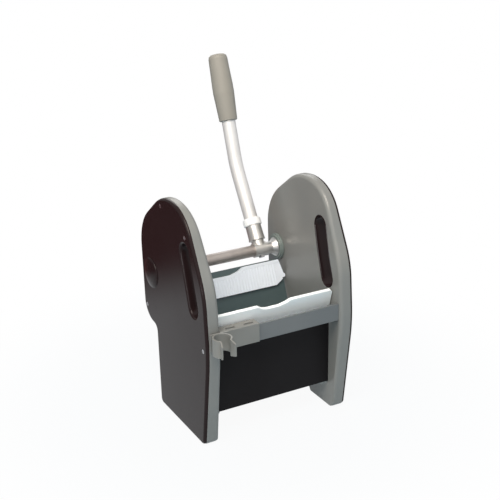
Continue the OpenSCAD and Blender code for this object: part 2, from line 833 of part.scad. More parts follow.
module axle_bush() {
  difference() {
    union() {
      rod(pivot, axle_r + 6, frame_x0 - 2, frame_x0);
      rod(pivot, axle_r + 3, frame_x0 - 1, frame_x0 + wall + 2);
    }
    rod(pivot, axle_r + run, frame_x0 - frame_t, frame_x1);
  }
}

module left_axle_bush() {
  color([0.20, 0.20, 0.21]) left() axle_bush();
}

module right_axle_bush() {
  color([0.20, 0.20, 0.21]) axle_bush();
}

module idler_pin() {
  rod(idler_c, idler_pin_r - 1, frame_x0 + 2, gear_x0);
  rod(idler_c, idler_pin_r, gear_x0 - 0.5, gear_x1 + gap);
  rod(idler_c, idler_pin_r + 3.5, gear_x1 + gap, gear_x1 + gap + 2);
}

module left_idler_pin() {
  color([0.66, 0.66, 0.68]) left() idler_pin();
}

module right_idler_pin() {
  color([0.66, 0.66, 0.68]) idler_pin();
}

// Lever.

module cross_shaft() {
  color([0.42, 0.37, 0.34]) difference() {
    union() {
      rod(shaft, shaft_r, -gear_x0 + 2, gear_x0 - 2);
      along_x(-shaft_end, shaft_end) translate(shaft) double_d(shaft_r, 0);
    }
    ring_seat(shaft, shaft_r, hub_x1 + 0.1);
    left() ring_seat(shaft, shaft_r, hub_x1 + 0.1);
    lever_place() cylinder(r = 3 + fit, h = 60, center = true);
  }
}

// Stands +Z along the lower part of the lever, from the shaft's axis.
module lever_place() {
  translate([lever_x, shaft_y, shaft_z]) rotate([-lever_lean, 0, 0]) children();
}

// Stands +Z along the upper part of the lever, from the point of the bend.
module upper_place() {
  lever_place() translate([0, 0, bend_at]) rotate([lever_bend, 0, 0]) children();
}

tube_r = tube_d / 2;

module lever_tee() {
  color([0.74, 0.74, 0.75]) difference() {
    union() {
      rod(shaft, tee_r, tee_x0, tee_x1);
      lever_place() {
        cylinder(r = tube_r - 1, h = ferrule_at);
        translate([0, 0, ferrule_at - 1]) cylinder(r = tube_r + 2.6, h = 2.2);
        translate([0, 0, ferrule_at])
          cylinder(r1 = tube_r + 2.1, r2 = tube_r + 1.5, h = collar_at - ferrule_at);
      }
    }
    rod(shaft, shaft_r + fit, 0, overall_w / 2);
    lever_place() {
      translate([0, 0, ferrule_at]) cylinder(r = tube_r + fit, h = 60);
      cylinder(r = 3 + fit, h = 80, center = true);
      translate([0, 0, -tee_r - 5]) cylinder(r = 7, h = 5 + 1.5);
    }
  }
}

// Bolt from below through the tee and the shaft, into a nut in the socket.
module tee_bolt() {
  color([0.62, 0.62, 0.64]) lever_place() {
    translate([0, 0, -tee_r + 1.5]) cylinder(r = 3, h = tee_r - 1.5 + ferrule_at + 5);
    translate([0, 0, -tee_r + 1.5 - 3.5]) cylinder(r = 5.5, h = 3.5, $fn = 6);
  }
}

module tee_nut() {
  color([0.62, 0.62, 0.64]) lever_place() translate([0, 0, ferrule_at]) difference() {
    cylinder(r = 5.5, h = 4.5, $fn = 6);
    translate([0, 0, -1]) cylinder(r = 3 + fit, h = 8);
  }
}

module thrust_collar() {
  translate([tee_x1 + gap, shaft_y, shaft_z]) rotate([0, 90, 0]) rotate_extrude() polygon([
    [shaft_r + fit, 0], [shaft_r + 0.8, 0], [shaft_r + 0.8, collar_gap - 9],
    [shaft_r + 1.6, collar_gap - 7.5], [shaft_r + 5.5, collar_gap - 1.5], [shaft_r + 6.4, collar_gap - 1],
    [shaft_r + 6.4, collar_gap], [shaft_r + fit, collar_gap]]);
}

collar_gap = frame_x0 - bush_flange_t - gap - tee_x1 - gap;

module left_thrust_collar() {
  color([0.70, 0.70, 0.70]) left() thrust_collar();
}

module right_thrust_collar() {
  color([0.70, 0.70, 0.70]) thrust_collar();
}

module lever_collar() {
  color([0.93, 0.94, 0.94]) lever_place() translate([0, 0, collar_at + gap]) rotate_extrude() polygon([
    [tube_r + fit, 0], [tube_r + 3, 0], [tube_r + 3.8, 1.2], [tube_r + 3.8, collar_l - 3],
    [tube_r + 2.6, collar_l], [tube_r + fit, collar_l]]);
}

// Lengths that the bend takes from the straight runs beside it.
bend_cut = bend_r * tan(lever_bend / 2);

tube_sides = 48;
bend_steps = 6;

// Centre line of the tube, as [y, z, lean] at each ring.
tube_line = concat(
  [[0, ferrule_at + 5.5, 0]],
  [for (k = [0:bend_steps]) let (a = lever_bend * k / bend_steps)
    [-bend_r * (1 - cos(a)), bend_at - bend_cut + bend_r * sin(a), a]],
  [[-(upper_l - 12) * sin(lever_bend), bend_at + (upper_l - 12) * cos(lever_bend), lever_bend]]);

// The rings of one skin of the tube, all round.
function tube_skin(r) = [
  for (q = tube_line, i = [0:tube_sides - 1])
    let (t = 360 * i / tube_sides)
    [r * cos(t), q[0] + r * sin(t) * cos(q[2]), q[1] + r * sin(t) * sin(q[2])]];

module lever_tube() {
  n = tube_sides;
  rings = len(tube_line);
  inner = n * rings;
  top = n * (rings - 1);
  color([0.78, 0.78, 0.79]) lever_place() polyhedron(
    concat(tube_skin(tube_r), tube_skin(tube_r - tube_wall)),
    concat(
      [for (k = [0:rings - 2], i = [0:n - 1]) let (a = k * n + i, b = k * n + (i + 1) % n)
        [a, a + n, b + n, b]],
      [for (k = [0:rings - 2], i = [0:n - 1]) let (a = inner + k * n + i, b = inner + k * n + (i + 1) % n)
        [a, b, b + n, a + n]],
      [for (i = [0:n - 1]) let (j = (i + 1) % n) [i, j, inner + j, inner + i]],
      [for (i = [0:n - 1]) let (j = (i + 1) % n)
        [top + j, top + i, inner + top + i, inner + top + j]]));
}

module lever_grip() {
  e = grip_end_d / 2;
  m = grip_d / 2;
  color([0.45, 0.43, 0.39]) upper_place() translate([0, 0, upper_l - grip_l]) difference() {
    rotate_extrude() polygon([
      [0, 0], [e - 1.5, 0], [e, 1.5], [e + 0.6, 0.12 * grip_l], [m - 0.8, 0.3 * grip_l], [m, 0.42 * grip_l],
      [m - 0.2, 0.55 * grip_l], [m - 1.2, 0.75 * grip_l], [e + 0.6, grip_l - 8], [e - 0.6, grip_l - 3.5],
      [e - 4, grip_l - 0.8], [e - 8, grip_l], [0, grip_l]]);
    translate([0, 0, -1]) cylinder(r = tube_r + fit, h = grip_l - 11 + 1);
  }
}

// Gear train.

module pinion() {
  difference() {
    union() {
      along_x(gear_x0, gear_x1) translate(shaft) gear_shape(pinion_teeth, upper_dir);
      rod(shaft, shaft_r + 4, gear_x0 - 1.5, hub_x1);
    }
    along_x(gear_x0 - 3, hub_x1 + 1) translate(shaft) double_d(shaft_r, fit);
  }
}

module left_pinion() {
  color([0.55, 0.55, 0.57]) left() pinion();
}

module right_pinion() {
  color([0.55, 0.55, 0.57]) pinion();
}

module shaft_circlips() {
  color([0.30, 0.30, 0.32]) {
    snap_ring(shaft, shaft_r, hub_x1 + 0.1);
    left() snap_ring(shaft, shaft_r, hub_x1 + 0.1);
  }
}

module idler() {
  root = gear_module * (idler_teeth / 2 - 1.1);
  difference() {
    along_x(gear_x0, gear_x1) translate(idler_c) gear_shape(idler_teeth, idler_phase);
    rod(idler_c, idler_pin_r + run, gear_x0 - 1, gear_x1 + 1);
    for (a = [0:60:300])
      rod(idler_c + (root + idler_pin_r) / 2 * [cos(a), sin(a)], (root - idler_pin_r) / 2 - 9.5,
        gear_x0 - 1, gear_x1 + 1);
  }
}

module left_idler() {
  color([0.16, 0.16, 0.17]) left() idler();
}

module right_idler() {
  color([0.16, 0.16, 0.17]) idler();
}

module jaw_axle() {
  color([0.60, 0.60, 0.62]) difference() {
    union() {
      rod(pivot, axle_r, -gear_x0 + 2, gear_x0 - 2);
      along_x(-shaft_end, shaft_end) translate(pivot) double_d(axle_r, 0);
    }
    ring_seat(pivot, axle_r, hub_x1 + 0.1);
    left() ring_seat(pivot, axle_r, hub_x1 + 0.1);
  }
}

// Toothed sector: its teeth reach from the mesh to the end of the jaw's swing.
module sector() {
  mesh = lower_dir + 180;
  a0 = mesh - jaw_travel - 8;
  a1 = mesh + 8;
  middle = (a0 + a1) / 2;
  far = 2 * gear_module * sector_teeth;
  difference() {
    union() {
      along_x(gear_x0, gear_x1) translate(pivot) intersection() {
        gear_shape(sector_teeth, sector_phase);
        polygon([
          -10 * [cos(middle), sin(middle)], far * [cos(a0), sin(a0)],
          far * [cos(middle), sin(middle)], far * [cos(a1), sin(a1)]]);
      }
      rod(pivot, axle_r + 6, gear_x0 - 1.5, hub_x1);
    }
    along_x(gear_x0 - 3, hub_x1 + 1) translate(pivot) double_d(axle_r, fit);
  }
}

module left_sector() {
  color([0.16, 0.16, 0.17]) left() sector();
}

module right_sector() {
  color([0.16, 0.16, 0.17]) sector();
}

module axle_circlips() {
  color([0.30, 0.30, 0.32]) {
    snap_ring(pivot, axle_r, hub_x1 + 0.1);
    left() snap_ring(pivot, axle_r, hub_x1 + 0.1);
  }
}

// Jaw.

// Stands +Z up along the jaw, from the pivot, with +Y at its back.
module jaw_place() {
  translate([0, pivot_y, pivot_z]) rotate([-jaw_lean, 0, 0]) children();
}

carrier_y = pad_front + rib_h + pad_t;
barrel_r = axle_r + 6;
jaw_taper = 6.5;

// Front view of the jaw: narrower at the top, where it passes the bushes.
module jaw_outline(top) {
  polygon([
    [-jaw_half, 0], [-jaw_half, jaw_h - 24], [jaw_taper - jaw_half, top],
    [jaw_half - jaw_taper, top], [jaw_half, jaw_h - 24], [jaw_half, 0]]);
}

module upright(y0, y1) {
  translate([0, y1, 0]) rotate([90, 0, 0]) linear_extrude(y1 - y0) children();
}

module jaw_carrier() {
  rib_depth = 7;
  color([0.24, 0.28, 0.28]) jaw_place() difference() {
    union() {
      upright(carrier_y, carrier_y + carrier_t) jaw_outline(jaw_h);
      translate([-jaw_half, 0, 0]) rotate([0, 90, 0]) cylinder(r = barrel_r, h = 2 * jaw_half);
      for (i = [-4:4], x = i * (jaw_half - 6) / 4) along_x(x - 2, x + 2) polygon([
        [carrier_y + 1, 0], [carrier_y + carrier_t + rib_depth, 6],
        [carrier_y + carrier_t + rib_depth, jaw_h - 50], [carrier_y + carrier_t + 2, jaw_h - 14],
        [carrier_y + 1, jaw_h - 14]]);
      for (z = [52, 96]) translate([6 - jaw_half, carrier_y + 1, z])
        cube([2 * jaw_half - 12, carrier_t + rib_depth - 3, 4]);
    }
    translate([-jaw_half - 1, 0, 0]) rotate([0, 90, 0]) cylinder(r = axle_r + fit, h = 2 * jaw_half + 2);
    for (p = pad_screw_at) translate([p.x, carrier_y - 1, p.y]) rotate([-90, 0, 0])
      cylinder(r = 2 + fit, h = carrier_t + 2);
  }
}

pad_screw_at = [for (i = [-3.5, -0.5, 0.5, 3.5]) [i * (jaw_half - 6) / 4, pad_z + 11]];

// Left edge of the pad from the bottom up, as [distance from the jaw's end, height].
pad_edge = [[18, 0], [4, 8], [4, 11], [-1.5, 11], [-1.5, 17], [0.5, 17], [jaw_taper, pad_h]];

// Front view of the pad, with a hollow in its top edge.
module pad_outline() {
  z0 = pad_z;
  difference() {
    polygon(concat(
      [for (q = pad_edge) [q.x - jaw_half, z0 + q.y]],
      [for (i = [len(pad_edge) - 1:-1:0]) [jaw_half - pad_edge[i].x, z0 + pad_edge[i].y]]));
    translate([-dip_x, z0 + pad_h]) dip(rear_dip_w, rear_dip_h);
  }
}

module jaw_pad() {
  color([0.86, 0.90, 0.92]) jaw_place() difference() {
    union() {
      intersection() {
        translate([0, carrier_y, pad_z]) linear_extrude(pad_h) mirror([0, 1])
          ribbed(jaw_half + 2, jaw_half - 12, pad_t);
        upright(0, 2 * carrier_y) pad_outline();
      }
      upright(carrier_y - pad_t - rib_h, carrier_y) difference() {
        pad_outline();
        translate([0, -rim_h]) pad_outline();
      }
    }
    for (p = pad_screw_at) translate([p.x, carrier_y - pad_t + 1, p.y]) rotate([-90, 0, 0])
      cylinder(r = 2 + fit, h = pad_t);
  }
}

// Screws from the rear, through the jaw's plate into the pad.
module pad_screws() {
  color([0.72, 0.72, 0.74]) jaw_place() for (p = pad_screw_at)
    translate([p.x, carrier_y - pad_t + 1.5, p.y]) rotate([-90, 0, 0]) {
      cylinder(r = 2, h = pad_t + carrier_t - 1.5);
      translate([0, 0, pad_t + carrier_t - 1.5]) cylinder(r = 3.8, h = 1.8);
    }
}

// Puts the floor origin midway along the depth.
module place() {
  translate([0, -origin_y, 0]) children();
}

place() left_side_frame();
place() right_side_frame();
place() left_side_cover();
place() right_side_cover();
place() left_cover_screws();
place() right_cover_screws();
place() front_crossbar();
place() front_panel();
place() rear_panel();
place() drain_floor();
place() frame_bolts();
place() front_press_plate();
place() handle_clip();
place() left_shaft_bush();
place() right_shaft_bush();
place() left_axle_bush();
place() right_axle_bush();
place() left_idler_pin();
place() right_idler_pin();
place() cross_shaft();
place() lever_tee();
place() tee_bolt();
place() tee_nut();
place() left_thrust_collar();
place() right_thrust_collar();
place() lever_collar();
place() lever_tube();
place() lever_grip();
place() left_pinion();
place() right_pinion();
place() shaft_circlips();
place() left_idler();
place() right_idler();
place() jaw_axle();
place() left_sector();
place() right_sector();
place() axle_circlips();
place() jaw_carrier();
place() jaw_pad();
place() pad_screws();
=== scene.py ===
"""Geared mop wringer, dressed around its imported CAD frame. Sizes are in millimetres
unless a name says otherwise; +X is right, -Y is the front, +Z is up."""

import math

import bmesh
import bpy
from mathutils import Matrix, Vector, geometry


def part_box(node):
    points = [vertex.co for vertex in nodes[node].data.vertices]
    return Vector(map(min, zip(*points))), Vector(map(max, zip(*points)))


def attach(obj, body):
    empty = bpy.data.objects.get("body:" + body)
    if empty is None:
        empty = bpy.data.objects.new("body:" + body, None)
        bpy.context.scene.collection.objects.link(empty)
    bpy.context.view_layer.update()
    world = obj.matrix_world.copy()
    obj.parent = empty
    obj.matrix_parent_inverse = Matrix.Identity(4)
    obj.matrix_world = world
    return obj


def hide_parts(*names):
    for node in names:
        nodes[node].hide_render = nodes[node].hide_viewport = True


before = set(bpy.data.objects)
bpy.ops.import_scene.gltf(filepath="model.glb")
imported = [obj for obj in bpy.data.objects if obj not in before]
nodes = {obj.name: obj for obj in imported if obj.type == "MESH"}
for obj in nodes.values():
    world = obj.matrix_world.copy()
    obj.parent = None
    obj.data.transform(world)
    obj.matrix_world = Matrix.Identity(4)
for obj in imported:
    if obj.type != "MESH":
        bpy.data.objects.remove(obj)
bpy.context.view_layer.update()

# Side frames: two deep moulded shells in grey satin plastic that carry everything
# else. Each has a soft inner rim, a hand slot and a notch underneath between its
# two feet, and is closed from outside by a glossy cover.
MM = 0.001
PANEL_FACE = 74.0
depth_shift = -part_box("front_panel")[0].y / MM - PANEL_FACE
frame_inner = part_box("right_side_frame")[0].x / MM
frame_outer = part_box("right_side_frame")[1].x / MM
SIDE_H, KNEE, BULGE, BASE_FRONT, BASE_REAR = 386.0, 110.0, 133.5, 87.0, 80.0
BEND_Z, FACE_LEAN = SIDE_H - 113.5, 5.5
RIM_ROUND, FRAME_WALL, FRAME_EDGE = 7.0, 3.0, 0.5
NOTCH_H, NOTCH_SLOPE, FRONT_FOOT, REAR_FOOT = 7.0, 5.0, 69.0, 45.0
SOLE_RIM_SHARE = 0.15
SHARPEST = 0.5
# Corners of the side view, clockwise from the front sole: y, z and the corner's radius.
profile = [
    (-BASE_FRONT, 0, 10),
    (-KNEE, 164, 280),
    (7.5 - KNEE, 265, 130),
    (-45, SIDE_H - 9.5, 72),
    (34.5, SIDE_H + 2.5, 98),
    (BULGE, SIDE_H - 71, 80),
    (BULGE - 5, 147, 36),
    (BASE_REAR + 3, 141, 10),
    (BASE_REAR, 0, 10),
]
notched_profile = profile + [
    (BASE_REAR - REAR_FOOT, 0, 1.5),
    (BASE_REAR - REAR_FOOT - NOTCH_SLOPE, NOTCH_H, 1.5),
    (FRONT_FOOT - BASE_FRONT + NOTCH_SLOPE, NOTCH_H, 1.5),
    (FRONT_FOOT - BASE_FRONT, 0, 1.5),
]
SLOT_Y, SLOT_Z, SLOT_LENGTH, SLOT_WIDTH, SLOT_TILT = -53.5, BEND_Z, 120.0, 36.0, 17.0
SLOT_EASE = 0.9
BEND_STEP, BEND_FROM_KNEE, BEND_FROM_SLOT = 4.0, 15.0, 2.0


class Link:
    """A socket that can be used in sums; each operation adds a Math node."""

    def __init__(self, finish, socket):
        self.finish, self.socket = finish, socket

    def maths(self, operation, *others):
        sockets = {i: v for i, v in enumerate((self,) + others)}
        return self.finish.node("ShaderNodeMath", {"operation": operation}, sockets)

    def __add__(self, other):
        return self.maths("ADD", other)

    def __mul__(self, other):
        return self.maths("MULTIPLY", other)

    __radd__ = __add__
    __rmul__ = __mul__


class Finish:
    """A material around one Principled shader, in the object's own coordinates."""

    def __init__(self, name, metallic=0.0, **fixed):
        self.material = bpy.data.materials.new(name)
        self.material.use_nodes = True
        self.tree = self.material.node_tree
        self.shader = self.tree.nodes["Principled BSDF"]
        self.shader.inputs["Metallic"].default_value = metallic
        for socket, value in fixed.items():
            self.shader.inputs[socket.replace("_", " ")].default_value = value
        self.place = self.node("ShaderNodeTexCoord", output="Object")

    def node(self, kind, settings=None, values=None, output=0):
        made = self.tree.nodes.new(kind)
        for key, value in (settings or {}).items():
            if key == "stops":
                ramp = made.color_ramp
                ramp.elements.remove(ramp.elements[1])
                ramp.elements[0].position, ramp.elements[0].color = value[0]
                for position, colour in value[1:]:
                    ramp.elements.new(position).color = colour
            else:
                setattr(made, key, value)
        for key, value in (values or {}).items():
            if isinstance(value, Link):
                self.tree.links.new(value.socket, made.inputs[key])
            else:
                made.inputs[key].default_value = value
        return Link(self, made.outputs[output])

    def noise(self, scale, detail=2.0, rough=0.5, stretch=None):
        place = self.place
        if stretch:
            settings = {"operation": "MULTIPLY"}
            place = self.node("ShaderNodeVectorMath", settings, {0: place, 1: stretch})
        values = {"Vector": place, "Scale": scale, "Detail": detail, "Roughness": rough}
        return self.node("ShaderNodeTexNoise", None, values)

    def band(self, value, low, high, to_low=0.0, to_high=1.0):
        settings = {"interpolation_type": "SMOOTHSTEP"}
        values = {"Value": value, 1: low, 2: high, 3: to_low, 4: to_high}
        return self.node("ShaderNodeMapRange", settings, values)

    def blend(self, factor, first, second, kind="MIX"):
        settings = {"data_type": "RGBA", "blend_type": kind}
        values = {0: factor, 6: colour(first), 7: colour(second)}
        return self.node("ShaderNodeMix", settings, values, 2)

    def set(self, socket, value):
        if isinstance(value, Link):
            self.tree.links.new(value.socket, self.shader.inputs[socket])
        else:
            self.shader.inputs[socket].default_value = colour(value)

    def bump(self, height, strength, distance):
        values = {"Strength": strength, "Distance": distance, "Height": height}
        self.set("Normal", self.node("ShaderNodeBump", None, values))


def colour(value):
    return (*value, 1.0) if isinstance(value, tuple) and len(value) == 3 else value


def spot(x, y, z):
    """A point of the drawing, in the row's metres."""
    return Vector((x * MM, (y - depth_shift) * MM, z * MM))


def rounded(corners, inset, step=3.0):
    """Points of an outline with an arc at each corner, moved inwards. The number of
    points on an arc comes from the plain outline, so that all rings can be joined."""
    points = []
    count = len(corners)
    plain = profile if count == len(profile) else notched_profile
    for i, (cy, cz, radius) in enumerate(corners):
        before, after = Vector(corners[i - 1][:2]), Vector(corners[(i + 1) % count][:2])
        corner = Vector((cy, cz))
        u, v = (corner - before).normalized(), (after - corner).normalized()
        nu, nv = Vector((u.y, -u.x)), Vector((v.y, -v.x))
        side = 1 if u.x * v.y - u.y * v.x < 0 else -1
        r = max(radius - side * inset, SHARPEST)
        bend = math.acos(max(-1, min(1, u.dot(v))))
        corner = corner + (nu + nv) * inset / (1 + nu.dot(nv))
        start = corner - u * r * math.tan(bend / 2)
        centre = start + nu * r * side
        p, q, r0 = (Vector(plain[k % count][:2]) for k in (i - 1, i, i + 1))
        steps = max(3, math.ceil(math.degrees((q - p).angle(r0 - q)) / step))
        arm = start - centre
        for k in range(steps + 1):
            points.append(centre + Matrix.Rotation(-side * bend * k / steps, 2) @ arm)
    return points


def obround(grow, steps=24):
    """Points of the tilted hand slot, widened by grow, with one on each side at the bend."""
    radius = SLOT_WIDTH / 2 + grow
    half = (SLOT_LENGTH - SLOT_WIDTH) / 2
    tilt = math.radians(SLOT_TILT)
    upright = []
    for end in (1, -1):
        for k in range(steps + 1):
            a = math.pi * k / steps if end > 0 else math.pi + math.pi * k / steps
            upright.append((radius * math.cos(a), radius * math.sin(a) + end * half))
        upright.append((-end * radius, -end * radius * math.tan(tilt)))
    return [
        Vector((
            SLOT_Y + y * math.cos(tilt) + z * math.sin(tilt),
            SLOT_Z - y * math.sin(tilt) + z * math.cos(tilt)))
        for y, z in upright]


def eased_corners(corners, inset):
    """Corners moved inwards, except at the soles, where the rim stays nearly square."""
    moved = []
    count = len(corners)
    for i, (cy, cz, radius) in enumerate(corners):
        corner = Vector((cy, cz))
        u = (corner - Vector(corners[i - 1][:2])).normalized()
        v = (Vector(corners[(i + 1) % count][:2]) - corner).normalized()
        nu, nv = Vector((u.y, -u.x)), Vector((v.y, -v.x))
        side = 1 if u.x * v.y - u.y * v.x < 0 else -1
        share = inset if cz > NOTCH_H else inset * SOLE_RIM_SHARE
        corner = corner + (nu + nv) * share / (1 + nu.dot(nv))
        moved.append((corner.x, corner.y, max(radius - side * share, SHARPEST)))
    return moved


def drawn_back(z):
    """How far the frames' inner faces lean outwards at a height, from their bend up."""
    return FACE_LEAN * max(0.0, z - BEND_Z) / (SIDE_H - BEND_Z)


def ring(mesh, x, points, leans=False):
    return [mesh.verts.new(spot(x + (drawn_back(p.y) if leans else 0), p.x, p.y)) for p in points]


def bridge(mesh, rings):
    for one, two in zip(rings, rings[1:]):
        for i in range(len(one)):
            j = (i + 1) % len(one)
            mesh.faces.new((one[i], one[j], two[j], two[i]))


def bend_line(mesh, x):
    """Points along the bend of a frame's inner face, clear of its rim and slot."""
    half_slot = SLOT_WIDTH / 2 / math.cos(math.radians(SLOT_TILT)) + BEND_FROM_SLOT
    count = int((KNEE + BULGE - 2 * BEND_FROM_KNEE) / BEND_STEP)
    places = [BEND_FROM_KNEE - KNEE + i * BEND_STEP for i in range(count)]
    return [mesh.verts.new(spot(x, y, BEND_Z)) for y in places if abs(y - SLOT_Y) > half_slot]


def cap(mesh, loops, between=()):
    """Fills the area between an outer loop and the loops inside it."""
    corners = [vert for loop in loops for vert in loop] + list(between)
    flat = [Vector((vert.co.y, vert.co.z)) / MM for vert in corners]
    bounds, outlines, first = [], [], 0
    for loop in loops:
        count = len(loop)
        bounds += [(first + i, first + (i + 1) % count) for i in range(count)]
        outlines.append(flat[first:first + count])
        first += count
    _, _, triangles, origin, _, _ = geometry.delaunay_2d_cdt(flat, bounds, [], 1, 1e-5)
    for triangle in triangles:
        kept = [origin[i][0] for i in triangle]
        middle = sum((flat[i] for i in kept), Vector((0, 0))) / 3
        if sum(within(middle, outline) for outline in outlines) % 2:
            mesh.faces.new([corners[i] for i in kept])


def within(point, outline):
    """Whether a point lies inside a closed outline."""
    inside = False
    for p, q in zip(outline, outline[1:] + outline[:1]):
        if (p.y > point.y) != (q.y > point.y):
            crossing = p.x + (point.y - p.y) * (q.x - p.x) / (q.y - p.y)
            inside ^= point.x < crossing
    return inside


def settled(made):
    """The object's mesh with its modifiers worked in."""
    bpy.context.view_layer.update()
    return bpy.data.meshes.new_from_object(
        made.evaluated_get(bpy.context.evaluated_depsgraph_get()))


def piece(name, mesh, finish, body, slot, *stands_for, smooth=38.0, crease=None):
    """Turns a bmesh into an object that rides on a body and stands for CAD nodes.
    Edges that lie at the height given by crease stay sharp."""
    bmesh.ops.recalc_face_normals(mesh, faces=mesh.faces)
    data = bpy.data.meshes.new(name)
    mesh.to_mesh(data)
    mesh.free()
    made = bpy.data.objects.new(name, data)
    bpy.context.scene.collection.objects.link(made)
    data.materials.append(finish.material)
    data.shade_smooth()
    data.set_sharp_from_angle(angle=math.radians(smooth))
    for edge in data.edges if crease else ():
        if all(abs(data.vertices[i].co.z / MM - crease) < 0.001 for i in edge.vertices):
            edge.use_edge_sharp = True
    weigh = made.modifiers.new("even_normals", "WEIGHTED_NORMAL")
    weigh.keep_sharp = True
    weigh.weight = 80
    shaped = settled(made)
    made.modifiers.clear()
    made.data = shaped
    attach(made, body)
    if stands_for:
        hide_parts(*stands_for)
    return made


def mirrored(mesh):
    """The same mesh for the left side."""
    other = mesh.copy()
    bmesh.ops.scale(other, vec=(-1, 1, 1), verts=other.verts)
    bmesh.ops.reverse_faces(other, faces=other.faces)
    return other


def satin_plastic(name, base, warm, roughness, **fixed):
    """Satin moulding: fine spark texture, slow tone drift and faint rub marks."""
    finish = Finish(name, **fixed)
    drift = finish.noise(9.0, 3.0)
    tone = finish.blend(finish.band(drift, 0.35, 0.68), base, warm)
    rub = finish.noise(34.0, 4.0, 0.6, (1.0, 1.0, 0.25))
    rubbed = tuple(1.5 * c for c in base)
    finish.set("Base Color", finish.blend(finish.band(rub, 0.62, 0.78, 0.0, 0.08), tone, rubbed))
    finish.set("Roughness", finish.band(rub, 0.3, 0.75, roughness - 0.02, roughness + 0.03))
    grain = finish.noise(2600.0, 1.0) + finish.noise(900.0, 2.0) * 0.5
    finish.bump(grain, 0.10, 0.0002)
    return finish


frame_plastic = satin_plastic(
    "frame_satin_grey", (0.199, 0.206, 0.200), (0.218, 0.220, 0.210), 0.31)
shell = bmesh.new()
rings = []
for angle in range(0, 91, 9):
    a = math.radians(angle)
    x = frame_inner + RIM_ROUND * (1 - math.cos(a))
    corners = eased_corners(notched_profile, RIM_ROUND * (1 - math.sin(a)))
    rings.append(ring(shell, x, rounded(corners, 0), True))
for x, inset, leans in (
        (frame_outer - FRAME_EDGE, 0, False),
        (frame_outer, FRAME_EDGE, False),
        (frame_outer, FRAME_WALL, False),
        (frame_inner + RIM_ROUND, FRAME_WALL, True),
        (frame_inner + FRAME_WALL, RIM_ROUND, True)):
    rings.append(ring(shell, x, rounded(notched_profile, inset), leans))
bridge(shell, rings)
slot_rings = [
    ring(shell, x, obround(grow), True)
    for x, grow in (
        (frame_inner, SLOT_EASE), (frame_inner + 0.25, 0.25), (frame_inner + SLOT_EASE, 0.0),
        (frame_inner + FRAME_WALL, 0.0))]
bridge(shell, slot_rings)
cap(shell, (rings[0], slot_rings[0]), bend_line(shell, frame_inner))
cap(shell, (rings[-1], slot_rings[-1]), bend_line(shell, frame_inner + FRAME_WALL))
left_shell = mirrored(shell)
piece(
    "right_frame_shell", shell, frame_plastic, "base", "frame_plastic", "right_side_frame",
    crease=BEND_Z)
piece(
    "left_frame_shell", left_shell, frame_plastic, "base", "frame_plastic", "left_side_frame",
    crease=BEND_Z)

# Side covers: near-black polished mouldings that close the housings from outside.
# Each has a rounded edge, a shallow round boss over the shaft's end, and a collar
# that lines the hand slot right through the frame. Their middle is left bare.
COVER_OUTER = 133.0
COVER_ROUND, SEAM, COVER_LAP = 4.2, 0.6, 8.0
SLOT_WALL, SLOT_MOUTH, SLOT_GAP, COLLAR_EASE = 2.5, 4.0, 0.3, 0.8
SHAFT_Y, SHAFT_Z, BOSS_R, BOSS_H, BOSS_FOOT = 92.5, 235.0, 25.5, 5.5, 1.95
cover_screws = [(43, SIDE_H - 21), (-44, SIDE_H - 47), (BULGE - 16, 169), (15 - KNEE, 171)]
RECESS_R, RECESS_DEPTH, RECESS_EASE = 3.7, 1.6, 0.3


def disc(mesh, x, y, z, radius, steps=36):
    """A ring of points round an axis along X."""
    turns = [2 * math.pi * k / steps for k in range(steps)]
    return [
        mesh.verts.new(spot(x, y + radius * math.cos(a), z + radius * math.sin(a))) for a in turns]


gloss_black = Finish("cover_gloss_black", IOR=1.25)
swell = gloss_black.noise(5.0, 2.0)
gloss_black.set("Base Color", gloss_black.blend(
    swell, (0.013, 0.007, 0.0075), (0.02, 0.0115, 0.012)))
haze = gloss_black.noise(22.0, 5.0, 0.65)
dust = gloss_black.noise(420.0, 2.0, 0.7)
gloss_black.set("Roughness", (
    gloss_black.band(haze, 0.35, 0.8, 0.13, 0.21) + gloss_black.band(dust, 0.7, 0.8, 0.0, 0.1)))
ripple = gloss_black.noise(14.0, 1.0) + gloss_black.noise(260.0, 1.0) * 0.012
gloss_black.bump(ripple, 0.12, 0.0012)

cover = bmesh.new()
rings = [ring(cover, frame_outer, rounded(profile, inset)) for inset in (COVER_LAP, SEAM)]
for angle in range(0, 91, 9):
    a = math.radians(angle)
    x = COVER_OUTER - COVER_ROUND * (1 - math.sin(a))
    rings.append(ring(cover, x, rounded(profile, SEAM + COVER_ROUND * (1 - math.cos(a)))))
bridge(cover, rings)
mouth = []
collar_bore = -SLOT_GAP - SLOT_WALL
for angle in range(0, 91, 15):
    a = math.radians(angle)
    x = COVER_OUTER - SLOT_MOUTH * (1 - math.cos(a))
    mouth.append(ring(cover, x, obround(collar_bore + SLOT_MOUTH * (1 - math.sin(a)))))
for x, grow, leans in (
        (frame_inner + COLLAR_EASE, collar_bore, True),
        (frame_inner, collar_bore + COLLAR_EASE, True),
        (frame_inner, -COLLAR_EASE, True),
        (frame_inner + 0.5, -SLOT_GAP, True),
        (frame_outer, -SLOT_GAP, False)):
    mouth.append(ring(cover, x, obround(grow), leans))
bridge(cover, mouth)
recesses = []
for y, z in cover_screws:
    lip = [
        disc(cover, COVER_OUTER - depth, y, z, radius)
        for depth, radius in (
            (0.0, RECESS_R + RECESS_EASE), (RECESS_EASE, RECESS_R), (RECESS_DEPTH, RECESS_R))]
    bridge(cover, lip)
    cover.faces.new(lip[-1])
    recesses.append(lip[0])
boss_rings = [disc(cover, COVER_OUTER, SHAFT_Y, SHAFT_Z, BOSS_R + 0.8, 96)]
for grow, height in ((0.2, 0.15), (0, 0.6), (-0.2, 1.1), (-0.9, 1.6), (-2.0, BOSS_FOOT)):
    boss_rings.append(disc(cover, COVER_OUTER + height, SHAFT_Y, SHAFT_Z, BOSS_R + grow, 96))
